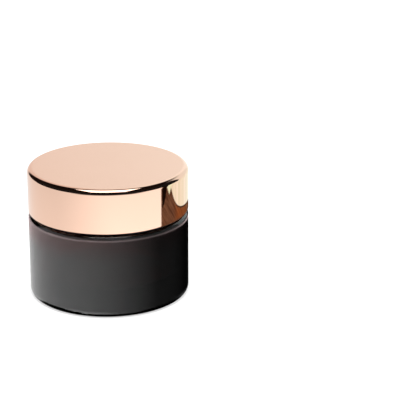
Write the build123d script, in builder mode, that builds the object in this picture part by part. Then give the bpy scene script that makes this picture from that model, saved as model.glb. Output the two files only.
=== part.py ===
from build123d import *
import os

# A cosmetic cream jar of the 50 g size: a thick glass jar with a screw neck, a sealing disc in its mouth, and
# a screw lid made of a metal shell over a plastic inner cap with a foam gasket.
# Millimetres, +Z up, the jar's axis on Z, its underside at Z = 0. Every piece is drawn where it sits when the
# lid is screwed down.

# Glass body
BODY_RADIUS = 30.0
SHOULDER_HEIGHT = 31.9
SHOULDER_ROUNDING = 2.0
BASE_ROUNDING = 2.2
FLOOR_THICKNESS = 6.5
CAVITY_RADIUS = 24.0
CAVITY_SHOULDER_HEIGHT = 27.5
CAVITY_ROUNDING = 5.0
PUSH_UP_RADIUS = 23.0
PUSH_UP_DEPTH = 1.2
PUSH_UP_ROUNDING = 0.6

# Glass neck
NECK_RADIUS = 24.6
MOUTH_RADIUS = 21.6
NECK_HEIGHT = 13.3
NECK_ROOT_ROUNDING = 0.8
RIM_ROUNDING = 0.8
MOUTH_SHOULDER_ROUNDING = 2.0
RIM_HEIGHT = SHOULDER_HEIGHT + NECK_HEIGHT

# Screw thread, one start and right-handed
THREAD_PITCH = 4.0
THREAD_TURNS = 1.35
THREAD_FADE_TURNS = 0.12
THREAD_START_BELOW_RIM = 7.6
THREAD_START_HEIGHT = RIM_HEIGHT - THREAD_START_BELOW_RIM
THREAD_HEIGHT = 1.2
THREAD_ROOT_HALF_WIDTH = 1.0
THREAD_CREST_HALF_WIDTH = 0.35
THREAD_EMBED = 0.4
THREAD_BURIED = 0.1
CAP_THREAD_DROP = 1.35

# Sealing disc
DISC_RADIUS = 24.3
DISC_THICKNESS = 0.8
PLUG_CLEARANCE = 0.2
PLUG_DEPTH = 2.6
PLUG_WALL = 0.9
PANEL_RECESS = 1.6
PANEL_THICKNESS = 0.8
RECESS_WALL_SLOPE = 0.4
TAB_LENGTH = 13.0
TAB_WIDTH = 7.0
TAB_THICKNESS = 0.6
TAB_BELOW_TOP = 0.2
TAB_ROOT_LENGTH = 2.5
DISC_EDGE_ROUNDING = 0.25
DISC_TOP = RIM_HEIGHT + DISC_THICKNESS

# Lid
GASKET_RADIUS = 25.4
GASKET_THICKNESS = 1.5
GASKET_EDGE_ROUNDING = 0.2
CEILING_THICKNESS = 1.2
SKIRT_BORE_RADIUS = 26.1
SKIRT_WALL = 1.4
SKIRT_MOUTH_CHAMFER = 0.6
CEILING_CORNER_ROUNDING = 0.4
FOOT_THICKNESS = 1.0
RIB_COUNT = 24
RIB_THICKNESS = 0.8
RIB_TOP_DROP = 1.3
RIB_OVERLAP = 0.2
SHELL_THICKNESS = 0.6
SHELL_TO_CAP_GAP = 0.1
SHELL_TOP_ROUNDING = 2.0
SHELL_HEM_ROUNDING = 0.45
SEAM_GAP = 0.6
CEILING_UNDERSIDE = DISC_TOP + GASKET_THICKNESS
CEILING_TOP = CEILING_UNDERSIDE + CEILING_THICKNESS
LID_TOP = CEILING_TOP + SHELL_THICKNESS
LID_BOTTOM = SHOULDER_HEIGHT + SEAM_GAP
HEM_TOP = LID_BOTTOM + SHELL_THICKNESS
SHELL_BORE_RADIUS = BODY_RADIUS - SHELL_THICKNESS
CAP_OUTER_RADIUS = SHELL_BORE_RADIUS - SHELL_TO_CAP_GAP
SKIRT_OUTER_RADIUS = SKIRT_BORE_RADIUS + SKIRT_WALL


def ridge_section(path, position, height, side):
    """The ridge's cross-section at one point of its path, rising to height on the given side of the wall."""
    flank_slope = (THREAD_ROOT_HALF_WIDTH - THREAD_CREST_HALF_WIDTH) / THREAD_HEIGHT
    embedded_half_width = THREAD_ROOT_HALF_WIDTH + flank_slope * THREAD_EMBED
    centre = path @ position
    outward = Vector(centre.X, centre.Y, 0).normalized()
    with BuildSketch(Plane(origin=centre, x_dir=outward * side, z_dir=path % position)) as section:
        with BuildLine():
            Polyline(
                (-THREAD_EMBED, -embedded_half_width),
                (height, -THREAD_CREST_HALF_WIDTH),
                (height, THREAD_CREST_HALF_WIDTH),
                (-THREAD_EMBED, embedded_half_width),
                close=True,
            )
        make_face()
    return section.sketch


def ridge_stretch(wall_radius, side, start_height, turns, end_heights):
    """One stretch of the ridge; turns holds its first and last turn, end_heights how high it stands there."""
    first_turn, last_turn = turns
    with BuildLine() as helix:
        Helix(
            THREAD_PITCH,
            THREAD_PITCH * (last_turn - first_turn),
            wall_radius,
            center=(0, 0, start_height + THREAD_PITCH * first_turn),
        )
    path = helix.line.rotate(Axis.Z, 360 * first_turn)
    sections = [ridge_section(path, end, end_heights[end], side) for end in (0, 1)]
    with BuildPart() as stretch:
        sweep(sections=sections, path=path, multisection=True, is_frenet=True)
    return stretch.part


def thread_ridge(wall_radius, side, start_height):
    """The whole ridge, outside the wall for side 1 and inside it for side -1, fading into it at both ends."""
    fade_end = THREAD_TURNS - THREAD_FADE_TURNS
    stretches = [
        ((0, THREAD_FADE_TURNS), (-THREAD_BURIED, THREAD_HEIGHT)),
        ((THREAD_FADE_TURNS, fade_end), (THREAD_HEIGHT, THREAD_HEIGHT)),
        ((fade_end, THREAD_TURNS), (THREAD_HEIGHT, -THREAD_BURIED)),
    ]
    with BuildPart() as ridge:
        for turns, end_heights in stretches:
            add(ridge_stretch(wall_radius, side, start_height, turns, end_heights))
    return ridge.part


jar_thread = thread_ridge(NECK_RADIUS, 1, THREAD_START_HEIGHT)
cap_thread = thread_ridge(SKIRT_BORE_RADIUS, -1, THREAD_START_HEIGHT - CAP_THREAD_DROP)


# Glass jar: body, flat shoulder and neck turned in one outline, then hollowed
with BuildPart() as glass_jar:
    with BuildSketch(Plane.XZ) as outside:
        with BuildLine():
            Polyline(
                (0, 0),
                (BODY_RADIUS, 0),
                (BODY_RADIUS, SHOULDER_HEIGHT),
                (NECK_RADIUS, SHOULDER_HEIGHT),
                (NECK_RADIUS, RIM_HEIGHT),
                (0, RIM_HEIGHT),
                close=True,
            )
        make_face()
        body_corners = outside.vertices().group_by(Axis.X)[-1].sort_by(Axis.Y)
        fillet(body_corners[0], BASE_ROUNDING)
        fillet(body_corners[1], SHOULDER_ROUNDING)
        neck_root = outside.vertices().filter_by_position(Axis.X, NECK_RADIUS, NECK_RADIUS).sort_by(Axis.Y)[0]
        fillet(neck_root, NECK_ROOT_ROUNDING)
    revolve(axis=Axis.Z)

    with BuildSketch(Plane.XZ) as cavity:
        with BuildLine():
            Polyline(
                (0, FLOOR_THICKNESS),
                (CAVITY_RADIUS, FLOOR_THICKNESS),
                (CAVITY_RADIUS, CAVITY_SHOULDER_HEIGHT),
                (MOUTH_RADIUS, SHOULDER_HEIGHT),
                (MOUTH_RADIUS, RIM_HEIGHT),
                (0, RIM_HEIGHT),
                close=True,
            )
        make_face()
        cavity_corners = cavity.vertices().group_by(Axis.X)[-1].sort_by(Axis.Y)
        fillet(cavity_corners[0], CAVITY_ROUNDING)
        fillet(cavity_corners[1], MOUTH_SHOULDER_ROUNDING)
    revolve(axis=Axis.Z, mode=Mode.SUBTRACT)

    with BuildSketch(Plane.XZ) as push_up:
        with BuildLine():
            TangentArc((0, PUSH_UP_DEPTH), (PUSH_UP_RADIUS, 0), tangent=(1, 0))
            Polyline((PUSH_UP_RADIUS, 0), (0, 0), (0, PUSH_UP_DEPTH))
        make_face()
    revolve(axis=Axis.Z, mode=Mode.SUBTRACT)

    bearing_ring_edges = glass_jar.faces().sort_by(Axis.Z)[0].edges().sort_by(SortBy.RADIUS)
    fillet(bearing_ring_edges[0], PUSH_UP_ROUNDING)
    fillet(glass_jar.edges().group_by(Axis.Z)[-1], RIM_ROUNDING)
    add(jar_thread)
glass_jar.part.label = "glass_jar"


# Sealing disc: a flange on the rim, a plug in the mouth and a sunken panel with a finger tab
with BuildPart() as sealing_disc:
    plug_radius = MOUTH_RADIUS - PLUG_CLEARANCE
    panel_radius = plug_radius - PLUG_WALL
    panel_top = DISC_TOP - PANEL_RECESS
    panel_underside = panel_top - PANEL_THICKNESS
    with BuildSketch(Plane.XZ) as disc_profile:
        with BuildLine():
            Polyline(
                (0, panel_underside),
                (panel_radius, panel_underside),
                (panel_radius, RIM_HEIGHT - PLUG_DEPTH),
                (plug_radius, RIM_HEIGHT - PLUG_DEPTH),
                (plug_radius, RIM_HEIGHT),
                (DISC_RADIUS, RIM_HEIGHT),
                (DISC_RADIUS, DISC_TOP),
                (panel_radius, DISC_TOP),
                (panel_radius - RECESS_WALL_SLOPE, panel_top),
                (0, panel_top),
                close=True,
            )
        make_face()
        fillet(disc_profile.vertices().group_by(Axis.X)[-1], DISC_EDGE_ROUNDING)
    revolve(axis=Axis.Z)

    tab_underside = DISC_TOP - TAB_BELOW_TOP - TAB_THICKNESS
    with BuildSketch(Plane.XY.offset(tab_underside)):
        SlotOverall(TAB_LENGTH, TAB_WIDTH)
    extrude(amount=TAB_THICKNESS)
    with BuildSketch(Plane.XY.offset(panel_top)):
        SlotOverall(TAB_LENGTH, TAB_WIDTH)
        with Locations((TAB_ROOT_LENGTH, 0)):
            Rectangle(TAB_LENGTH, TAB_WIDTH, mode=Mode.SUBTRACT)
    extrude(amount=tab_underside - panel_top)
sealing_disc.part.label = "sealing_disc"


# Lid gasket: a plain foam wad
with BuildPart() as lid_gasket:
    with BuildSketch(Plane.XY.offset(DISC_TOP)):
        Circle(GASKET_RADIUS)
    extrude(amount=GASKET_THICKNESS)
    fillet(lid_gasket.edges(), GASKET_EDGE_ROUNDING)
lid_gasket.part.label = "lid_gasket"


# Inner cap: ceiling, threaded skirt and a foot that reaches out to the shell, stiffened by upright ribs
with BuildPart() as inner_cap:
    with BuildSketch(Plane.XZ) as cap_profile:
        with BuildLine():
            Polyline(
                (0, CEILING_UNDERSIDE),
                (SKIRT_BORE_RADIUS, CEILING_UNDERSIDE),
                (SKIRT_BORE_RADIUS, HEM_TOP),
                (CAP_OUTER_RADIUS, HEM_TOP),
                (CAP_OUTER_RADIUS, HEM_TOP + FOOT_THICKNESS),
                (SKIRT_OUTER_RADIUS, HEM_TOP + FOOT_THICKNESS),
                (SKIRT_OUTER_RADIUS, CEILING_TOP),
                (0, CEILING_TOP),
                close=True,
            )
        make_face()
        bore_corners = cap_profile.vertices().filter_by_position(Axis.X, SKIRT_BORE_RADIUS, SKIRT_BORE_RADIUS)
        chamfer(bore_corners.sort_by(Axis.Y)[0], SKIRT_MOUTH_CHAMFER)
        fillet(bore_corners.sort_by(Axis.Y)[-1], CEILING_CORNER_ROUNDING)
    revolve(axis=Axis.Z)

    rib_inner_radius = SKIRT_OUTER_RADIUS - RIB_OVERLAP
    with BuildSketch(Plane.XY.offset(HEM_TOP + FOOT_THICKNESS / 2)):
        with PolarLocations((rib_inner_radius + CAP_OUTER_RADIUS) / 2, RIB_COUNT):
            Rectangle(CAP_OUTER_RADIUS - rib_inner_radius, RIB_THICKNESS)
    extrude(amount=CEILING_TOP - RIB_TOP_DROP - (HEM_TOP + FOOT_THICKNESS / 2))
    add(cap_thread)
inner_cap.part.label = "inner_cap"


# Lid shell: a drawn metal cup with a rounded top edge and its lower edge turned in under the inner cap
with BuildPart() as lid_shell:
    with BuildSketch(Plane.XZ) as shell_profile:
        with BuildLine():
            Polyline(
                (0, CEILING_TOP),
                (SHELL_BORE_RADIUS, CEILING_TOP),
                (SHELL_BORE_RADIUS, HEM_TOP),
                (SHELL_BORE_RADIUS - SHELL_THICKNESS, HEM_TOP),
                (SHELL_BORE_RADIUS - SHELL_THICKNESS, LID_BOTTOM),
                (BODY_RADIUS, LID_BOTTOM),
                (BODY_RADIUS, LID_TOP),
                (0, LID_TOP),
                close=True,
            )
        make_face()
        outer_corners = shell_profile.vertices().group_by(Axis.X)[-1].sort_by(Axis.Y)
        fillet(outer_corners[-1], SHELL_TOP_ROUNDING)
        fillet(outer_corners[0], SHELL_HEM_ROUNDING)
        inner_corner = shell_profile.vertices().filter_by_position(Axis.Y, CEILING_TOP, CEILING_TOP)
        fillet(inner_corner.sort_by(Axis.X)[-1], SHELL_TOP_ROUNDING - SHELL_THICKNESS)
    revolve(axis=Axis.Z)
lid_shell.part.label = "lid_shell"


os.makedirs("parts", exist_ok=True)
export_step(glass_jar.part, "parts/glass_jar.step")
export_step(sealing_disc.part, "parts/sealing_disc.step")
export_step(lid_gasket.part, "parts/lid_gasket.step")
export_step(inner_cap.part, "parts/inner_cap.step")
export_step(lid_shell.part, "parts/lid_shell.step")
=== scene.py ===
import math

import bpy
import numpy as np
from mathutils import Euler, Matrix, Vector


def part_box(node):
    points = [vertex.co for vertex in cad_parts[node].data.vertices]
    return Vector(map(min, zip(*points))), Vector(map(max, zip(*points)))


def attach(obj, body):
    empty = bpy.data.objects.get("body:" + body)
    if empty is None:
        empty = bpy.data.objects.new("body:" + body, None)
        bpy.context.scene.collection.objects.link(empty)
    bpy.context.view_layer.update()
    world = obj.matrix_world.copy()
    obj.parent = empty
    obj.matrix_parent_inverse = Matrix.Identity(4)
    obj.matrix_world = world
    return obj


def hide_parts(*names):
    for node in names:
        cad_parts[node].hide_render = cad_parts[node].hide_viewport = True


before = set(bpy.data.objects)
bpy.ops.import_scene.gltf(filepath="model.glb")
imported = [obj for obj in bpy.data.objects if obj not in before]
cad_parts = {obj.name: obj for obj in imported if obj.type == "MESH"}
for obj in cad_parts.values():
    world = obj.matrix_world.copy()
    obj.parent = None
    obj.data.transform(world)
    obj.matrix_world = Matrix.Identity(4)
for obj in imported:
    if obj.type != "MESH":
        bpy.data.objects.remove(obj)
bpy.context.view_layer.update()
MM = 0.001

# Sizes: each piece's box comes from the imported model, and what the boxes don't tell is named here.


def radius_and_heights(node):
    """Outer radius, lowest height and highest height of a round CAD node."""
    low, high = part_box(node)
    return high.x, low.z, high.z


BODY_RADIUS, GROUND, RIM_HEIGHT = radius_and_heights("glass_jar")
DISC_RADIUS, PLUG_BOTTOM, DISC_TOP = radius_and_heights("sealing_disc")
GASKET_RADIUS, GASKET_BOTTOM, GASKET_TOP = radius_and_heights("lid_gasket")
CAP_RADIUS, CAP_FOOT, CAP_TOP = radius_and_heights("inner_cap")
SHELL_RADIUS, SHELL_BOTTOM, SHELL_TOP = radius_and_heights("lid_shell")

SHOULDER_HEIGHT = 31.9 * MM
SHOULDER_ROUNDING = 2.0 * MM
BASE_ROUNDING = 2.2 * MM
FLOOR_THICKNESS = 6.5 * MM
CAVITY_RADIUS = 24.0 * MM
CAVITY_SHOULDER_HEIGHT = 27.5 * MM
CAVITY_FLOOR_ROUNDING = 5.0 * MM
CAVITY_SLOPE_ROUNDING = 2.0 * MM
PUSH_UP_RADIUS = 23.0 * MM
PUSH_UP_DEPTH = 1.2 * MM
BEARING_BARS = 120
BEARING_BAR_HEIGHT = 0.1 * MM
NECK_RADIUS = 24.6 * MM
MOUTH_RADIUS = 21.6 * MM
RIM_ROUNDING = 0.8 * MM
NECK_ROOT_ROUNDING = 0.8 * MM

THREAD_PITCH = 4.0 * MM
THREAD_TURNS = 1.35
THREAD_FADE_TURNS = 0.12
THREAD_START_HEIGHT = RIM_HEIGHT - 7.6 * MM
THREAD_HEIGHT = 1.2 * MM
THREAD_ROOT_HALF_WIDTH = 1.0 * MM
THREAD_CREST_HALF_WIDTH = 0.35 * MM
CAP_THREAD_DROP = 1.35 * MM

PLUG_RADIUS = 21.4 * MM
PANEL_RADIUS = 20.5 * MM
PANEL_RECESS = 1.6 * MM
PANEL_THICKNESS = 0.8 * MM
RECESS_WALL_SLOPE = 0.4 * MM
TAB_LENGTH = 13.0 * MM
TAB_WIDTH = 7.0 * MM
TAB_THICKNESS = 0.6 * MM
TAB_BELOW_TOP = 0.2 * MM
TAB_ROOT_LENGTH = 2.5 * MM
BEAD_RADIUS = 0.82 * PANEL_RADIUS
BEAD_ROUNDING = 0.35 * MM

SKIRT_BORE_RADIUS = 26.1 * MM
SKIRT_OUTER_RADIUS = 27.5 * MM
SKIRT_MOUTH_CHAMFER = 0.6 * MM
FOOT_THICKNESS = 1.0 * MM
RIB_COUNT = 24
RIB_THICKNESS = 0.8 * MM
RIB_OVERLAP = 0.2 * MM
RIB_TOP_DROP = 1.3 * MM
RIB_TOP_LEAD = 0.5 * MM
SHELL_THICKNESS = 0.6 * MM
SHELL_TOP_ROUNDING = 2.0 * MM
SHELL_HEM_ROUNDING = 0.45 * MM
GASKET_PRESSED = 0.12 * MM

# Outlines and lathe

COLUMNS = 480
HOLD = 0.04 * MM
SAME_POINT = 1e-9
THREAD_ROW = 0.08 * MM
SHARP_ANGLE = math.radians(40)


def arc(centre_radius, centre_height, rounding, start, end, steps=12):
    """Outline points of a rounding; its angles are in degrees, 0 pointing outwards and 90 upwards."""
    points = []
    for step in range(steps + 1):
        angle = math.radians(start + (end - start) * step / steps)
        radius = centre_radius + rounding * math.cos(angle)
        height = centre_height + rounding * math.sin(angle)
        points.append((radius, height))
    return points


def rows(radius, low, high, spacing):
    """Evenly spaced outline points up or down a straight wall, fine enough to carry a thread."""
    count = max(2, round(abs(high - low) / spacing))
    return [(radius, low + (high - low) * step / count) for step in range(count + 1)]


def held(outline):
    """The outline with a point just inside both ends of every long straight, so that flats shade flat."""
    points = [outline[0]]
    for start, end in zip(outline, outline[1:]):
        span = math.dist(start, end)
        if span < SAME_POINT:
            continue
        if span > 6 * HOLD:
            share = HOLD / span
            for t in (share, 1 - share):
                points.append(tuple(a + (b - a) * t for a, b in zip(start, end)))
        points.append(end)
    return points


def mesh_piece(name, vertices, faces):
    """A shown object from vertices and faces, smooth but for its sharp corners."""
    mesh = bpy.data.meshes.new(name)
    mesh.from_pydata(vertices, [], faces)
    mesh.validate()
    mesh.shade_smooth()
    mesh.set_sharp_from_angle(angle=SHARP_ANGLE)
    piece = bpy.data.objects.new(name, mesh)
    bpy.context.scene.collection.objects.link(piece)
    return piece


def lathe(outline, relief=None, columns=COLUMNS):
    """Vertices and faces of an outline turned round Z. Both ends of the outline lie on the axis.

    relief(angle, radius, height), when given, says how far each point moves outwards and upwards.
    """
    points = held(outline)
    ring = np.array(points[1:-1])
    angle = np.linspace(0, 2 * math.pi, columns, endpoint=False)[None, :]
    radius = np.repeat(ring[:, :1], columns, axis=1)
    height = np.repeat(ring[:, 1:], columns, axis=1)
    if relief:
        outwards, upwards = relief(angle, radius, height)
        radius = radius + outwards
        height = height + upwards
    grid = np.stack([radius * np.cos(angle), radius * np.sin(angle), height], axis=-1).reshape(-1, 3)
    vertices = [(0, 0, points[0][1])] + grid.tolist() + [(0, 0, points[-1][1])]

    faces = []
    last_ring = len(ring) - 1
    for column in range(columns):
        after = (column + 1) % columns
        faces.append((0, 1 + after, 1 + column))
        for row in range(last_ring):
            here = 1 + row * columns
            below = here + columns
            faces.append((here + column, here + after, below + after, below + column))
        base = 1 + last_ring * columns
        faces.append((base + column, base + after, len(vertices) - 1))
    return vertices, faces


def thread_relief(start_height, side):
    """A relief that raises the screw ridge outwards (side 1) or inwards (side -1)."""
    flank_width = THREAD_ROOT_HALF_WIDTH - THREAD_CREST_HALF_WIDTH

    def eased(share):
        return share * share * (3 - 2 * share)

    def relief(angle, radius, height):
        raised = np.zeros_like(radius)
        for turn in range(math.ceil(THREAD_TURNS)):
            turned = angle / (2 * math.pi) + turn
            off_centre = np.abs(height - start_height - THREAD_PITCH * turned)
            flank = np.clip((THREAD_ROOT_HALF_WIDTH - off_centre) / flank_width, 0, 1)
            to_end = np.minimum(turned, THREAD_TURNS - turned)
            fade = np.clip(to_end / THREAD_FADE_TURNS, 0, 1)
            raised = np.maximum(raised, eased(flank) * eased(fade) * THREAD_HEIGHT)
        return side * raised, np.zeros_like(raised)

    return relief


# Pieces


def glass_outline():
    """From the middle of the underside, up the outside, over the rim and down to the cavity floor."""
    sphere = (PUSH_UP_RADIUS**2 + PUSH_UP_DEPTH**2) / (2 * PUSH_UP_DEPTH)
    edge_angle = math.degrees(math.asin(PUSH_UP_RADIUS / sphere))
    outline = [(0, PUSH_UP_DEPTH)]
    outline += arc(0, PUSH_UP_DEPTH - sphere, sphere, 89, 90 - edge_angle, 24)

    outline += arc(BODY_RADIUS - BASE_ROUNDING, BASE_ROUNDING, BASE_ROUNDING, -90, 0, 16)
    rounding = SHOULDER_ROUNDING
    outline += arc(BODY_RADIUS - rounding, SHOULDER_HEIGHT - rounding, rounding, 0, 90, 16)

    root = SHOULDER_HEIGHT + NECK_ROOT_ROUNDING
    outline += arc(NECK_RADIUS + NECK_ROOT_ROUNDING, root, NECK_ROOT_ROUNDING, 270, 180, 8)
    outline += rows(NECK_RADIUS, root + HOLD, RIM_HEIGHT - RIM_ROUNDING, THREAD_ROW)
    outline += arc(NECK_RADIUS - RIM_ROUNDING, RIM_HEIGHT - RIM_ROUNDING, RIM_ROUNDING, 0, 90, 10)
    outline += arc(MOUTH_RADIUS + RIM_ROUNDING, RIM_HEIGHT - RIM_ROUNDING, RIM_ROUNDING, 90, 180, 10)

    drop = SHOULDER_HEIGHT - CAVITY_SHOULDER_HEIGHT
    slope = math.degrees(math.atan2(drop, CAVITY_RADIUS - MOUTH_RADIUS))
    rounding = CAVITY_SLOPE_ROUNDING
    upper = SHOULDER_HEIGHT + 0.5 * rounding
    lower = CAVITY_SHOULDER_HEIGHT - 0.3 * rounding
    outline += arc(MOUTH_RADIUS + rounding, upper, rounding, 180, 180 + 90 - slope, 8)
    outline += arc(CAVITY_RADIUS - rounding, lower, rounding, 90 - slope, 0, 8)
    rounding = CAVITY_FLOOR_ROUNDING
    outline += arc(CAVITY_RADIUS - rounding, FLOOR_THICKNESS + rounding, rounding, 0, -90, 16)
    outline.append((0, FLOOR_THICKNESS))
    return outline


def glass_relief(angle, radius, height):
    """The neck's screw thread and the fine radial bars moulded in the bearing ring."""
    outwards, upwards = thread_relief(THREAD_START_HEIGHT, 1)(angle, radius, height)
    outwards = np.where(radius < NECK_RADIUS - HOLD, 0, outwards)
    ring_edge = BODY_RADIUS - BASE_ROUNDING + 0.1 * MM
    on_ring = (height < BEARING_BAR_HEIGHT / 2) & (radius > PUSH_UP_RADIUS) & (radius < ring_edge)
    bars = BEARING_BAR_HEIGHT / 2 * (1 + np.cos(BEARING_BARS * angle))
    return outwards, upwards + np.where(on_ring, bars, 0)


def make_glass_jar():
    jar = mesh_piece("amber_jar", *lathe(glass_outline(), glass_relief))
    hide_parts("glass_jar")
    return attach(jar, "jar")


def shell_outline():
    """From the middle of the lid's top, down the outside, round the hem and back up inside to the middle."""
    outline = [(0, SHELL_TOP)]
    rounding = SHELL_TOP_ROUNDING
    outline += arc(SHELL_RADIUS - rounding, SHELL_TOP - rounding, rounding, 90, 0, 24)
    rounding = SHELL_HEM_ROUNDING
    outline += arc(SHELL_RADIUS - rounding, SHELL_BOTTOM + rounding, rounding, 0, -90, 10)
    bore = SHELL_RADIUS - SHELL_THICKNESS
    hem = SHELL_BOTTOM + SHELL_THICKNESS
    rounding = SHELL_THICKNESS / 2
    outline += arc(bore - rounding, hem - rounding, rounding, -90, -270, 10)
    outline.append((bore, hem))
    inner_rounding = SHELL_TOP_ROUNDING - SHELL_THICKNESS
    ceiling = SHELL_TOP - SHELL_THICKNESS
    outline += arc(bore - inner_rounding, ceiling - inner_rounding, inner_rounding, 0, 90, 10)
    outline.append((0, ceiling))
    return outline


def make_lid_shell():
    shell = mesh_piece("lid_metal", *lathe(shell_outline()))
    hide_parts("lid_shell")
    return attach(shell, "lid")


def cap_outline():
    """From the middle of the cap's top, down the outside, round its foot and up the bore to the ceiling."""
    edge = 0.15 * MM
    corner = 0.4 * MM
    outline = [(0, CAP_TOP)]
    outline += arc(SKIRT_OUTER_RADIUS - edge, CAP_TOP - edge, edge, 90, 0, 4)
    outline.append((SKIRT_OUTER_RADIUS, CAP_FOOT + FOOT_THICKNESS))
    outline += arc(CAP_RADIUS - edge, CAP_FOOT + FOOT_THICKNESS - edge, edge, 90, 0, 4)
    outline += arc(CAP_RADIUS - edge, CAP_FOOT + edge, edge, 0, -90, 4)
    outline.append((SKIRT_BORE_RADIUS + SKIRT_MOUTH_CHAMFER, CAP_FOOT))
    thread_top = GASKET_BOTTOM - 1 * MM
    outline += rows(SKIRT_BORE_RADIUS, CAP_FOOT + SKIRT_MOUTH_CHAMFER, thread_top, THREAD_ROW)
    outline += arc(SKIRT_BORE_RADIUS - corner, GASKET_TOP - corner, corner, 0, 90, 6)
    outline.append((0, GASKET_TOP))
    return outline


def cap_relief(angle, radius, height):
    """The screw thread on the wall of the cap's bore."""
    inwards, upwards = thread_relief(THREAD_START_HEIGHT - CAP_THREAD_DROP, -1)(angle, radius, height)
    return np.where(np.abs(radius - SKIRT_BORE_RADIUS) < HOLD, inwards, 0), upwards


def rib_blocks():
    """The upright ribs that stiffen the skirt inside the metal shell."""
    vertices = []
    faces = []
    low = CAP_FOOT + FOOT_THICKNESS / 2
    high = CAP_TOP - RIB_TOP_DROP
    inner = SKIRT_OUTER_RADIUS - RIB_OVERLAP
    side = [(inner, low), (CAP_RADIUS, low), (CAP_RADIUS, high - RIB_TOP_LEAD)]
    side += [(CAP_RADIUS - RIB_TOP_LEAD, high), (inner, high)]
    for rib in range(RIB_COUNT):
        angle = 2 * math.pi * rib / RIB_COUNT
        first = len(vertices)
        for half in (-RIB_THICKNESS / 2, RIB_THICKNESS / 2):
            for radius, height in side:
                x = radius * math.cos(angle) - half * math.sin(angle)
                y = radius * math.sin(angle) + half * math.cos(angle)
                vertices.append((x, y, height))
        count = len(side)
        faces.append(tuple(first + i for i in range(count)))
        faces.append(tuple(first + count + i for i in reversed(range(count))))
        for i in range(count):
            after = (i + 1) % count
            faces.append((first + i, first + count + i, first + count + after, first + after))
    return vertices, faces


def joined(*parts):
    """Several vertex and face lists as one."""
    vertices = []
    faces = []
    for part_vertices, part_faces in parts:
        shift = len(vertices)
        vertices += part_vertices
        faces += [tuple(index + shift for index in face) for face in part_faces]
    return vertices, faces


def make_inner_cap():
    cap = mesh_piece("cap_liner", *joined(lathe(cap_outline(), cap_relief), rib_blocks()))
    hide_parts("inner_cap")
    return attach(cap, "lid")


def gasket_outline():
    """A foam disc with a soft edge and a shallow ring pressed into its underside by the disc on the rim."""
    edge = 0.25 * MM
    outer_slope = 0.4 * MM
    inner_slope = 0.5 * MM
    pressed = GASKET_BOTTOM + GASKET_PRESSED
    outline = [(0, GASKET_TOP)]
    outline += arc(GASKET_RADIUS - edge, GASKET_TOP - edge, edge, 90, 0, 5)
    outline += arc(GASKET_RADIUS - edge, GASKET_BOTTOM + edge, edge, 0, -90, 5)
    outline += [(DISC_RADIUS + outer_slope, GASKET_BOTTOM), (DISC_RADIUS, pressed)]
    outline += [(PANEL_RADIUS, pressed), (PANEL_RADIUS - inner_slope, GASKET_BOTTOM)]
    outline.append((0, GASKET_BOTTOM))
    return outline


def make_gasket():
    gasket = mesh_piece("foam_gasket", *lathe(gasket_outline()))
    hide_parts("lid_gasket")
    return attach(gasket, "gasket")


def disc_outline():
    """From the middle of the sunken panel, out over the flange, round the plug and back under the panel."""
    edge = 0.2 * MM
    panel_top = DISC_TOP - PANEL_RECESS
    panel_underside = panel_top - PANEL_THICKNESS
    recess = PANEL_RADIUS - RECESS_WALL_SLOPE
    outline = [(0, panel_top)]
    outline += arc(BEAD_RADIUS, panel_top, BEAD_ROUNDING, 180, 0, 8)
    outline += [(recess - edge, panel_top), (recess, panel_top + edge / 2)]
    outline += arc(PANEL_RADIUS + edge, DISC_TOP - edge, edge, 180, 90, 5)
    outline += arc(DISC_RADIUS - edge, DISC_TOP - edge, edge, 90, 0, 6)
    outline += arc(DISC_RADIUS - edge, RIM_HEIGHT + edge, edge, 0, -90, 6)
    outline.append((PLUG_RADIUS, RIM_HEIGHT))
    outline += arc(PLUG_RADIUS - edge, PLUG_BOTTOM + edge, edge, 0, -90, 5)
    outline += arc(PANEL_RADIUS + edge, PLUG_BOTTOM + edge, edge, -90, -180, 5)
    outline += [(PANEL_RADIUS, panel_underside), (0, panel_underside)]
    return outline


def tab_blocks():
    """The finger tab: a round-ended tongue above the panel, joined to it at one end."""
    top = DISC_TOP - TAB_BELOW_TOP
    underside = top - TAB_THICKNESS
    panel_top = DISC_TOP - PANEL_RECESS
    half_straight = (TAB_LENGTH - TAB_WIDTH) / 2
    steps = 24

    def slot_ring(inset, height):
        """The tab's round-ended outline at one height, drawn in by inset."""
        reach = TAB_WIDTH / 2 - inset
        ring = []
        for end in (1, -1):
            for step in range(steps + 1):
                angle = math.pi * (step / steps - end / 2)
                x = end * half_straight + reach * math.cos(angle)
                ring.append((x, reach * math.sin(angle), height))
        return ring

    edge = 0.15 * MM
    bevel = 0.3 * edge
    rings = [
        slot_ring(edge, underside),
        slot_ring(bevel, underside + bevel),
        slot_ring(0, underside + edge),
        slot_ring(0, top - edge),
        slot_ring(bevel, top - bevel),
        slot_ring(edge, top),
    ]
    root_end = -half_straight - TAB_WIDTH / 2 + TAB_ROOT_LENGTH
    root_rings = []
    for height in (panel_top - edge, underside + edge):
        root_rings.append([point for point in slot_ring(0, height) if point[0] <= root_end])
    return joined(stacked(rings), stacked(root_rings))


def stacked(rings):
    """A closed solid through rings of equal count, capped at both ends."""
    count = len(rings[0])
    vertices = [point for ring in rings for point in ring]
    faces = [tuple(reversed(range(count)))]
    for level in range(len(rings) - 1):
        low = level * count
        for i in range(count):
            after = (i + 1) % count
            faces.append((low + i, low + after, low + count + after, low + count + i))
    faces.append(tuple((len(rings) - 1) * count + i for i in range(count)))
    return vertices, faces


def make_disc():
    disc = mesh_piece("white_disc", *joined(lathe(disc_outline()), tab_blocks()))
    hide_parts("sealing_disc")
    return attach(disc, "disc")


# Materials


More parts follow.
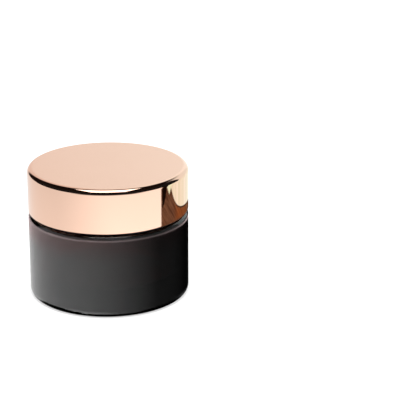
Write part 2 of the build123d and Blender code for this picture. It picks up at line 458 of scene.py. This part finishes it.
class Nodes:
    """A material's node tree with short calls for adding nodes and links."""

    def __init__(self, name, world=None):
        self.material = world or bpy.data.materials.new(name)
        self.material.use_nodes = True
        self.tree = self.material.node_tree
        if world:
            self.tree.nodes.clear()
            self.output = self.add("ShaderNodeOutputWorld")
        else:
            self.surface = self.tree.nodes["Principled BSDF"]
            self.output = self.tree.nodes["Material Output"]
        self.coordinates = self.add("ShaderNodeTexCoord")
        self.place = self.coordinates.outputs["Object"]

    def add(self, kind, settings=None, **inputs):
        """A node with its settings and inputs; an input is a value or another node's output."""
        node = self.tree.nodes.new(kind)
        for key, value in (settings or {}).items():
            setattr(node, key, value)
        for key, value in inputs.items():
            self.feed(node, key.replace("_", " "), value)
        return node

    def feed(self, node, key, value):
        socket = node.inputs[int(key)] if key.isdigit() else node.inputs[key]
        if isinstance(value, bpy.types.NodeSocket):
            self.tree.links.new(value, socket)
        else:
            socket.default_value = value

    def noise(self, scale, detail=3.0, vector=None):
        node = self.add("ShaderNodeTexNoise", Scale=scale, Detail=detail)
        self.tree.links.new(vector or self.place, node.inputs["Vector"])
        return node.outputs["Fac"]

    def span(self, value, low, high, new_low, new_high):
        """value moved from one range to another, clamped."""
        node = self.add("ShaderNodeMapRange")
        keys = ("Value", "From Min", "From Max", "To Min", "To Max")
        for key, item in zip(keys, (value, low, high, new_low, new_high)):
            self.feed(node, key, item)
        return node.outputs["Result"]

    def smooth(self, value, low, high, new_low, new_high):
        """As span, with an eased start and end."""
        result = self.span(value, low, high, new_low, new_high)
        result.node.interpolation_type = "SMOOTHSTEP"
        return result

    def past(self, value, limit, soft):
        """0 below a limit and 1 above it, with a soft edge."""
        return self.smooth(self.math("SUBTRACT", value, limit), -soft, soft, 0.0, 1.0)

    def window(self, value, low, high, soft):
        """1 between two limits and 0 outside them, with soft edges."""
        return self.both(self.past(value, low, soft), self.past(high, value, soft))

    def both(self, first, second):
        return self.math("MULTIPLY", first, second)

    def math(self, operation, *values):
        node = self.add("ShaderNodeMath", {"operation": operation})
        for index, value in enumerate(values):
            self.feed(node, str(index), value)
        return node.outputs[0]

    def grey(self, value):
        """A colour whose three channels are one value."""
        return self.add("ShaderNodeCombineColor", Red=value, Green=value, Blue=value).outputs[0]

    def blend_shaders(self, share, first, second):
        """The surface goes from one shader to another by share."""
        mix = self.add("ShaderNodeMixShader")
        for socket, item in zip(mix.inputs, (share, first, second)):
            self.tree.links.new(item, socket)
        self.tree.links.new(mix.outputs[0], self.output.inputs["Surface"])

    def mix(self, share, first, second):
        """A colour between two colours."""
        node = self.add("ShaderNodeMix", {"data_type": "RGBA"})
        for socket, item in zip((node.inputs[0], node.inputs[6], node.inputs[7]), (share, first, second)):
            if isinstance(item, bpy.types.NodeSocket):
                self.tree.links.new(item, socket)
            else:
                socket.default_value = item
        return node.outputs[2]

    def bump(self, height, distance, strength=1.0, normal=None):
        node = self.add("ShaderNodeBump", Height=height, Distance=distance, Strength=strength)
        if normal:
            self.tree.links.new(normal, node.inputs["Normal"])
        return node.outputs["Normal"]

    def parts(self, vector=None):
        """X, Y and Z of a vector, or of the point."""
        return self.add("ShaderNodeSeparateXYZ", Vector=vector or self.place).outputs

    def set(self, **inputs):
        """The surface's own inputs, such as its colour and roughness."""
        for key, value in inputs.items():
            self.feed(self.surface, key.replace("_", " "), value)


def amber_glass():
    nodes = Nodes("amber_glass")
    waves = nodes.noise(70.0, 2.0)
    smudges = nodes.noise(140.0, 5.0)
    off_seam = nodes.math("ABSOLUTE", nodes.parts()["Y"])
    seam = nodes.span(off_seam, 0.0, 0.12 * MM, 1.0, 0.0)
    relief = nodes.bump(waves, 0.06 * MM)
    relief = nodes.bump(seam, 0.03 * MM, 1.0, relief)
    nodes.set(
        Base_Color=(1, 1, 1, 1),
        Roughness=nodes.span(smudges, 0.35, 0.7, 0.06, 0.12),
        IOR=1.52,
        Transmission_Weight=1.0,
        Normal=relief,
    )
    absorb = nodes.add("ShaderNodeVolumeAbsorption", Color=(0.69, 0.42, 0.08, 1), Density=1150.0)
    nodes.tree.links.new(absorb.outputs[0], nodes.output.inputs["Volume"])
    return nodes.material


def rose_gold():
    nodes = Nodes("rose_gold")
    on_top = nodes.span(nodes.parts()["Z"], SHELL_TOP - 0.02 * MM, SHELL_TOP - 0.001 * MM, 0.0, 1.0)
    cloud = nodes.noise(45.0, 3.0)
    grain = nodes.noise(9000.0, 2.0)
    colour = nodes.mix(cloud, (0.845, 0.555, 0.42, 1), (0.875, 0.585, 0.45, 1))
    satin = nodes.both(on_top, nodes.span(grain, 0.3, 0.7, 0.12, 0.2))
    polish = nodes.span(nodes.noise(300.0, 6.0), 0.4, 0.75, 0.03, 0.07)
    nodes.set(
        Base_Color=colour,
        Metallic=1.0,
        Roughness=nodes.math("ADD", satin, polish),
        Normal=nodes.bump(grain, 0.004 * MM, 0.3),
    )
    return nodes.material


def white_plastic(name, colour):
    nodes = Nodes(name)
    cloud = nodes.noise(60.0, 3.0)
    texture = nodes.noise(3500.0, 3.0)
    darker = tuple(channel * 0.95 for channel in colour[:3]) + (1,)
    nodes.set(
        Base_Color=nodes.mix(cloud, darker, colour),
        Roughness=nodes.span(texture, 0.3, 0.7, 0.35, 0.5),
        Subsurface_Weight=0.15,
        Subsurface_Radius=(1.2 * MM, 1.0 * MM, 0.9 * MM),
        Subsurface_Scale=1.0,
        Normal=nodes.bump(texture, 0.01 * MM, 0.5),
    )
    return nodes.material


def gasket_foam():
    nodes = Nodes("gasket_foam")
    cells = nodes.add("ShaderNodeTexVoronoi", {"feature": "DISTANCE_TO_EDGE"}, Scale=2600.0)
    nodes.tree.links.new(nodes.place, cells.inputs["Vector"])
    walls = nodes.span(cells.outputs["Distance"], 0.0, 0.25, 1.0, 0.0)
    nodes.set(
        Base_Color=nodes.mix(walls, (0.72, 0.72, 0.7, 1), (0.82, 0.82, 0.8, 1)),
        Roughness=0.75,
        Subsurface_Weight=0.2,
        Subsurface_Radius=(1.0 * MM, 1.0 * MM, 1.0 * MM),
        Subsurface_Scale=1.0,
        Normal=nodes.bump(walls, 0.05 * MM, 0.6),
    )
    return nodes.material


def dress(piece, material):
    piece.data.materials.clear()
    piece.data.materials.append(material)


# Studio
# The studio turns with the camera, so that every side of the jar is lit like the front. In its own frame the
# camera stands at -Y. Azimuths are in degrees: 0 points at the camera from the jar, and +90 to the right.
# The floor and a low wall in front glow for the jar's mirror rays, by each ray's azimuth and by the height on
# the jar that it left from.

EDGE_HEIGHT = SHELL_TOP - SHELL_TOP_ROUNDING
SHOULDER_START = SHOULDER_HEIGHT - SHOULDER_ROUNDING
DARK = (0.009, 0.006, 0.005, 1)

# Azimuths in the painted reflection on the lid's side
BROWN_START = 80.5
WEDGE_START = 82.5
VEE_CENTRE = 97.0
BAY_START = 100.5


def make_rig():
    """An empty at the origin whose -Y side keeps facing the camera."""
    rig = bpy.data.objects.new("studio_rig", None)
    bpy.context.scene.collection.objects.link(rig)
    facing = rig.constraints.new("LOCKED_TRACK")
    facing.target = bpy.context.scene.camera
    facing.track_axis = "TRACK_NEGATIVE_Y"
    facing.lock_axis = "LOCK_Z"
    return rig


def tinted(nodes, lit, green, blue):
    """A colour of a given brightness, with its green and blue as shares of its red."""
    shares = {"Red": lit, "Green": nodes.both(lit, green), "Blue": nodes.both(lit, blue)}
    return nodes.add("ShaderNodeCombineColor", **shares).outputs[0]


def glass_mirror(nodes, azimuth, height):
    """What the glass mirrors, as a painted reflection: a glow fading to the right, lines at shoulder and
    foot, and a painted shadow at the foot.
    """
    middle = 17.0
    darkest = middle + 90.0
    swing = nodes.math("SUBTRACT", nodes.math("MINIMUM", azimuth, darkest), middle)
    glow = nodes.math("MULTIPLY_ADD", nodes.math("SINE", nodes.math("RADIANS", swing)), -0.98, 0.95)
    glow = nodes.math("MAXIMUM", glow, nodes.smooth(azimuth, 65.0, 145.0, 0.13, 0.004))

    foot_light = nodes.math("MULTIPLY_ADD", nodes.window(azimuth, -125.0, -10.0, 40.0), 2.2, 0.3)
    foot_line = nodes.both(foot_light, nodes.smooth(height, 1.5 * MM, 2.9 * MM, 1.0, 0.0))
    left_fade = nodes.smooth(azimuth, -150.0, -70.0, 0.1, 1.0)
    shoulder_light = nodes.both(left_fade, nodes.smooth(azimuth, 0.0, 70.0, 2.2, 1.4))
    at_shoulder = nodes.window(height, SHOULDER_START - 0.3 * MM, SHOULDER_START + 0.5 * MM, 0.3 * MM)
    lines = nodes.math("ADD", foot_line, nodes.both(shoulder_light, at_shoulder))

    # Painted shadow: below a height that rises at the sides, the glass mirrors black, for the shade under the
    # jar's foot.
    dark_height = 1.65 * MM
    more_at_sides = 0.6 * MM
    at_sides = nodes.window(nodes.math("ABSOLUTE", azimuth), 60.0, 125.0, 20.0)
    dark_foot = nodes.math("MULTIPLY_ADD", at_sides, more_at_sides, dark_height)
    lit = nodes.both(nodes.math("ADD", glow, lines), nodes.past(height, dark_foot, 0.25 * MM))
    warmth = nodes.smooth(height, 20 * MM, 29 * MM, 0.0, 1.0)
    return nodes.mix(warmth, nodes.grey(lit), tinted(nodes, lit, 0.8, 0.8))


def pale_room(nodes, azimuth, height):
    """The painted reflection of a pale room in the lid's side: brighter to the right, and dark in the middle
    close under the edge.
    """
    lit = nodes.smooth(azimuth, -85.0, 15.0, 0.96, 1.36)
    lit = nodes.both(lit, nodes.span(height, 33 * MM, 47 * MM, 1.06, 0.97))
    at_edge = nodes.past(height, EDGE_HEIGHT + 0.1 * MM, 0.2 * MM)
    at_edge = nodes.both(at_edge, nodes.window(azimuth, -45.0, 45.0, 15.0))
    lit = nodes.both(lit, nodes.math("MULTIPLY_ADD", at_edge, -0.95, 1.0))
    return tinted(nodes, lit, 1.02, 1.03)


def lid_streaks(nodes, azimuth, height):
    """Noise drawn out upwards in the painted reflection on the lid's side, for the brown shapes at its right
    end.
    """
    across = nodes.math("MULTIPLY_ADD", azimuth, 0.35, nodes.both(height, 0.8 / MM))
    along = nodes.both(height, 0.12 / MM)
    place = nodes.add("ShaderNodeCombineXYZ", X=across, Y=along).outputs[0]
    return nodes.span(nodes.noise(1.0, 3.0, place), 0.35, 0.65, 0.0, 1.0)


def with_brown_end(nodes, azimuth, height, reflection_streaks, colour):
    """Adds to the painted reflection its brown right end, with a dark wedge up its left edge and a bright vee
    hanging from its top.
    """
    brown = nodes.mix(reflection_streaks, (0.08, 0.035, 0.02, 1), (0.24, 0.14, 0.09, 1))
    soft = 0.8
    colour = nodes.mix(nodes.past(azimuth, BROWN_START, soft), colour, brown)

    wedge_reach = nodes.math("SQRT", nodes.span(height, 40 * MM, EDGE_HEIGHT, 0.0, 1.0))
    wedge_edge = nodes.math("MULTIPLY_ADD", wedge_reach, 10.0, WEDGE_START - 0.5)
    wedge = nodes.both(nodes.past(azimuth, WEDGE_START, soft), nodes.past(wedge_edge, azimuth, soft))
    colour = nodes.mix(wedge, colour, (0.01, 0.004, 0.002, 1))

    off_vee = nodes.math("ABSOLUTE", nodes.math("SUBTRACT", azimuth, VEE_CENTRE))
    vee_half_width = nodes.span(height, 43.5 * MM, EDGE_HEIGHT, -1.0, 4.8)
    return nodes.mix(nodes.past(vee_half_width, off_vee, 0.7), colour, (1.05, 1.35, 1.1, 1))


def with_bay(nodes, azimuth, height, reflection_streaks, colour):
    """Adds to the painted reflection a bright bay that sinks towards the far right, with a dark outline and
    an amber patch below it.
    """
    lowest = 36.7 * MM
    fall = 9.3 * MM
    drop = nodes.math("POWER", 0.905, nodes.math("SUBTRACT", azimuth, BAY_START + 1.0))
    bay_edge = nodes.math("MULTIPLY_ADD", drop, fall, lowest)
    under_bay = nodes.math("SUBTRACT", bay_edge, height)
    beyond = nodes.past(azimuth, BAY_START, 1.0)

    amber = nodes.mix(reflection_streaks, (0.17, 0.06, 0.02, 1), (0.34, 0.13, 0.05, 1))
    in_amber = nodes.both(nodes.window(azimuth, 112.0, 150.0, 8.0), nodes.past(under_bay, 0.8 * MM, 0.3 * MM))
    in_amber = nodes.both(in_amber, nodes.past(height, 33.3 * MM, 0.5 * MM))
    colour = nodes.mix(in_amber, colour, amber)
    outline = nodes.both(beyond, nodes.window(under_bay, -0.1 * MM, 0.5 * MM, 0.2 * MM))
    colour = nodes.mix(outline, colour, (0.05, 0.02, 0.01, 1))

    by_azimuth = nodes.add("ShaderNodeCombineXYZ", X=azimuth).outputs[0]
    folds = nodes.span(nodes.noise(0.16, 2.0, by_azimuth), 0.4, 0.6, 0.0, 1.0)
    bright = nodes.mix(folds, (0.98, 1.1, 0.94, 1), (1.14, 1.26, 1.2, 1))
    in_bay = nodes.both(beyond, nodes.past(0.0, under_bay, 0.2 * MM))
    return nodes.mix(in_bay, colour, bright)


def lid_mirror(nodes, azimuth, height):
    """What the lid's side mirrors, as a painted reflection: a pale room and, on the right, brown shapes with
    a bright bay.
    """
    reflection_streaks = lid_streaks(nodes, azimuth, height)
    colour = pale_room(nodes, azimuth, height)
    colour = with_brown_end(nodes, azimuth, height, reflection_streaks, colour)
    return with_bay(nodes, azimuth, height, reflection_streaks, colour)


def mirror_rays(nodes, lid):
    """A mirror ray's azimuth, the height on the jar that it left from, and that height were the lid down."""
    settings = {"vector_type": "VECTOR", "convert_from": "WORLD", "convert_to": "OBJECT"}
    incoming = nodes.add("ShaderNodeNewGeometry").outputs["Incoming"]
    back = nodes.parts(nodes.add("ShaderNodeVectorTransform", settings, Vector=incoming).outputs[0])
    azimuth = nodes.math("DEGREES", nodes.math("ARCTAN2", nodes.both(back["X"], -1.0), back["Y"]))
    climb = nodes.both(nodes.add("ShaderNodeLightPath").outputs["Ray Length"], back["Z"])
    height = nodes.math("ADD", climb, nodes.parts()["Z"])
    place_in_lid = nodes.add("ShaderNodeTexCoord", {"object": lid}).outputs["Object"]
    lid_height = nodes.math("ADD", climb, nodes.parts(place_in_lid)["Z"])
    return azimuth, height, lid_height


def jar_mirror(nodes, azimuth, lid_height, on_glass):
    """What the whole jar mirrors, as a painted reflection. A raised lid keeps its own painted reflection, by
    its heights as if it were down.
    """
    on_lid = nodes.smooth(lid_height, SHOULDER_HEIGHT, SHELL_BOTTOM, 0.0, 1.0)
    return nodes.mix(on_lid, on_glass, lid_mirror(nodes, azimuth, lid_height))


def floor_paper(lid):
    """Pale and matt, with a little glow of its own that softens the jar's shadow; to the jar's mirror rays it
    shows a painted reflection instead.
    """
    nodes = Nodes("floor_paper")
    nodes.set(Base_Color=(0.57, 0.57, 0.57, 1), Roughness=1.0, Specular_IOR_Level=0.0)
    nodes.set(Emission_Color=(1, 1, 1, 1), Emission_Strength=0.45)
    azimuth, height, lid_height = mirror_rays(nodes, lid)
    colour = jar_mirror(nodes, azimuth, lid_height, glass_mirror(nodes, azimuth, height))
    glow = nodes.add("ShaderNodeEmission", Color=colour)
    is_glossy = nodes.add("ShaderNodeLightPath").outputs["Is Glossy Ray"]
    nodes.blend_shaders(is_glossy, nodes.surface.outputs[0], glow.outputs[0])
    return nodes.material


def front_paper(lid):
    """Lights the shoulder, neck and lid side from the front, and stays dark to the lid's top edge."""
    nodes = Nodes("front_paper")
    azimuth, _, lid_height = mirror_rays(nodes, lid)
    on_glass = nodes.grey(nodes.smooth(azimuth, -10.0, 90.0, 0.8, 0.3))
    lit = jar_mirror(nodes, azimuth, lid_height, on_glass)
    near_top = nodes.past(lid_height, EDGE_HEIGHT - 0.8 * MM, 0.3 * MM)
    glow = nodes.add("ShaderNodeEmission", Color=nodes.mix(near_top, lit, (0.012, 0.012, 0.012, 1)))
    nodes.tree.links.new(glow.outputs[0], nodes.output.inputs["Surface"])
    return nodes.material


def make_front_wall(rig, lid):
    """A low curved wall round the front of the jar, seen only in reflections."""
    radius = 1.2
    height = 0.9
    start = math.radians(-205)
    sweep = math.radians(230)
    steps = 24
    vertices = []
    for step in range(steps + 1):
        angle = start + sweep * step / steps
        for z in (0.0, height):
            vertices.append((radius * math.cos(angle), radius * math.sin(angle), z))
    faces = [(2 * step, 2 * step + 2, 2 * step + 3, 2 * step + 1) for step in range(steps)]
    wall = mesh_piece("studio_front", vertices, faces)
    wall.visible_camera = False
    wall.visible_diffuse = False
    wall.visible_transmission = False
    wall.visible_shadow = False
    wall.parent = rig
    dress(wall, front_paper(lid))


def make_floor(rig, lid):
    size = 4.0
    corners = [(-size, -size, 0), (size, -size, 0), (size, size, 0), (-size, size, 0)]
    floor = mesh_piece("studio_floor", corners, [(0, 1, 2, 3)])
    floor.location.z = GROUND - 0.02 * MM
    floor.parent = rig
    dress(floor, floor_paper(lid))


def camera_pitch(nodes):
    """0 for a camera that looks level, and 1 for one that looks straight down."""
    settings = {"vector_type": "VECTOR", "convert_from": "WORLD", "convert_to": "CAMERA"}
    up = nodes.add("ShaderNodeVectorTransform", settings, Vector=(0, 0, 1)).outputs[0]
    return nodes.math("ABSOLUTE", nodes.parts(up)["Z"])


def make_world(rig):
    """White to the camera and to matt surfaces; mirrored and seen through glass, a dark room with a backdrop.

    The lit backdrop stands behind the jar, with a lower stretch to its right, and it reaches overhead for a
    camera that looks down on the lid.
    """
    world = bpy.data.worlds.new("studio")
    bpy.context.scene.world = world
    nodes = Nodes("studio", world)
    nodes.coordinates.object = rig
    x, y, z = nodes.parts()
    sideways = nodes.math("DEGREES", nodes.math("ARCTAN2", x, y))
    elevation = nodes.math("DEGREES", nodes.math("ARCSINE", z))

    behind = nodes.window(sideways, -30.0, 30.0, 6.0)
    behind = nodes.both(behind, nodes.smooth(elevation, 54.0, 68.0, 1.0, 0.0))
    beside = nodes.window(sideways, 20.0, 66.0, 8.0)
    beside = nodes.both(beside, nodes.smooth(elevation, 26.0, 44.0, 0.9, 0.0))
    looking_down = nodes.smooth(camera_pitch(nodes), 0.65, 0.85, 0.0, 1.0)
    overhead = nodes.both(looking_down, nodes.past(elevation, 52.0, 6.0))
    lit = nodes.math("MAXIMUM", nodes.math("MAXIMUM", behind, beside), overhead)

    rightwards = nodes.span(x, -0.13, 0.13, 0.0, 1.0)
    backdrop = nodes.mix(rightwards, (0.89, 0.8, 0.76, 1), (1.11, 1.19, 1.17, 1))
    room = nodes.mix(lit, DARK, backdrop)
    path = nodes.add("ShaderNodeLightPath").outputs
    in_tent = nodes.math("MAXIMUM", path["Is Camera Ray"], path["Is Diffuse Ray"])
    background = nodes.add("ShaderNodeBackground", Color=nodes.mix(in_tent, room, (1.3, 1.3, 1.3, 1)))
    nodes.tree.links.new(background.outputs[0], nodes.output.inputs["Surface"])


def make_softbox(rig):
    """The key light: a rectangular area light above and in front of the jar, facing down."""
    width = 0.52
    depth = 0.51
    radiance = 3.0
    light = bpy.data.lights.new("key_softbox", "AREA")
    light.shape = "RECTANGLE"
    light.size = width
    light.size_y = depth
    light.energy = radiance * math.pi * width * depth
    lamp = bpy.data.objects.new("key_softbox", light)
    bpy.context.scene.collection.objects.link(lamp)
    lamp.location = (0.0, -0.225, 0.62)
    lamp.parent = rig


# Camera

CAMERA_DISTANCE = 0.6043
CAMERA_ELEVATION = math.radians(22.33)
CAMERA_YAW = math.radians(3.91)
CAMERA_PITCH = math.radians(19.55)
CAMERA_ROLL = math.radians(0.265)
CAMERA_LENS = 135.0


def make_camera():
    data = bpy.data.cameras.new("camera")
    data.lens = CAMERA_LENS
    data.sensor_width = 36.0
    data.clip_start = 0.01
    data.clip_end = 20.0
    camera = bpy.data.objects.new("camera", data)
    bpy.context.scene.collection.objects.link(camera)
    away = CAMERA_DISTANCE * math.cos(CAMERA_ELEVATION)
    camera.location = (0.0, -away, CAMERA_DISTANCE * math.sin(CAMERA_ELEVATION))
    aim = Euler((math.pi / 2 - CAMERA_PITCH, 0, -CAMERA_YAW), "XYZ").to_matrix()
    roll = Euler((0, 0, CAMERA_ROLL), "XYZ").to_matrix()
    camera.rotation_euler = (aim @ roll).to_euler()
    bpy.context.scene.camera = camera


scene = bpy.context.scene
scene.view_settings.view_transform = "Standard"
scene.cycles.use_denoising = True

dress(make_glass_jar(), amber_glass())
lid_shell = make_lid_shell()
dress(lid_shell, rose_gold())
dress(make_inner_cap(), white_plastic("cap_plastic", (0.8, 0.8, 0.79, 1)))
dress(make_disc(), white_plastic("disc_plastic", (0.82, 0.82, 0.82, 1)))
dress(make_gasket(), gasket_foam())

make_camera()
studio_rig = make_rig()
make_floor(studio_rig, lid_shell)
make_front_wall(studio_rig, lid_shell)
make_world(studio_rig)
make_softbox(studio_rig)
